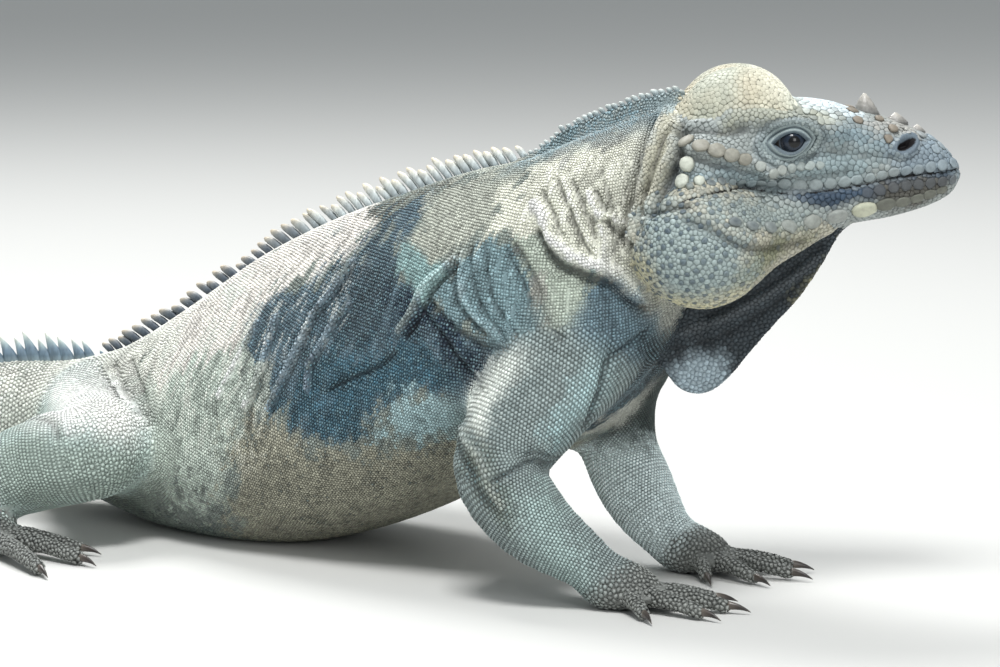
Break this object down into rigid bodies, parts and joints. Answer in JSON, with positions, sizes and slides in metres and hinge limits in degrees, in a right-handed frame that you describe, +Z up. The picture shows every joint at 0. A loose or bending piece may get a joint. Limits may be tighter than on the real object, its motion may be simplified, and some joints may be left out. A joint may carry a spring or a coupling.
{
  "type": "rhinoceros iguana",
  "caption": "Life-size still model of an adult rhinoceros iguana, chest raised on its forelegs, with snout horns, a domed crown, jowls, a dewlap and a spiny crest.",
  "frame": {"origin": "middle of the model's footprint, on the floor that it rests on", "axes": "+X the way the head points, -Y the animal's right side at the head, +Z up"},
  "size_m": [0.8798, 0.3826, 0.2039],
  "materials": {
    "claw": "dark horn, polished",
    "crown_skin": "smooth fatty pad under fine scales, satin",
    "dewlap_skin": "loose skin with rows of fine scales, matt",
    "eye": "wet and clear",
    "head_skin": "dry scaly skin, satin",
    "horn": "horny, satin",
    "jowl_skin": "soft skin with small raised scales, satin",
    "limb_skin": "small overlapping scales, matt",
    "neck_skin": "wrinkled skin with granular scales, matt",
    "tail_skin": "keeled scales in rings, satin",
    "trunk_skin": "skin with fine scales in rows, satin"
  },
  "bodies": {
    "root": {"claw_foot_left_1": "claw", "claw_foot_left_2": "claw", "claw_foot_left_3": "claw", "claw_foot_left_4": "claw", "claw_foot_left_5": "claw", "claw_foot_right_1": "claw", "claw_foot_right_2": "claw", "claw_foot_right_3": "claw", "claw_foot_right_4": "claw", "claw_foot_right_5": "claw", "claw_hand_left_1": "claw", "claw_hand_left_2": "claw", "claw_hand_left_3": "claw", "claw_hand_left_4": "claw", "claw_hand_left_5": "claw", "claw_hand_right_1": "claw", "claw_hand_right_2": "claw", "claw_hand_right_3": "claw", "claw_hand_right_4": "claw", "claw_hand_right_5": "claw", "crown_pad": "crown_skin", "dewlap": "dewlap_skin", "eye_left": "eye", "eye_right": "eye", "foot_left": "limb_skin", "foot_right": "limb_skin", "forearm_left": "limb_skin", "forearm_right": "limb_skin", "hand_left": "limb_skin", "hand_right": "limb_skin", "head": "head_skin", "horn_front": "horn", "horn_main": "horn", "horn_middle": "horn", "jowl_left": "jowl_skin", "jowl_right": "jowl_skin", "lower_jaw": "head_skin", "neck": "neck_skin", "shank_left": "limb_skin", "shank_right": "limb_skin", "tail_base": "tail_skin", "tail_middle": "tail_skin", "tail_rear": "tail_skin", "tail_tip": "tail_skin", "thigh_left": "limb_skin", "thigh_right": "limb_skin", "trunk_front": "trunk_skin", "trunk_rear": "trunk_skin", "upper_arm_left": "limb_skin", "upper_arm_right": "limb_skin"}
  },
  "joints": []
}
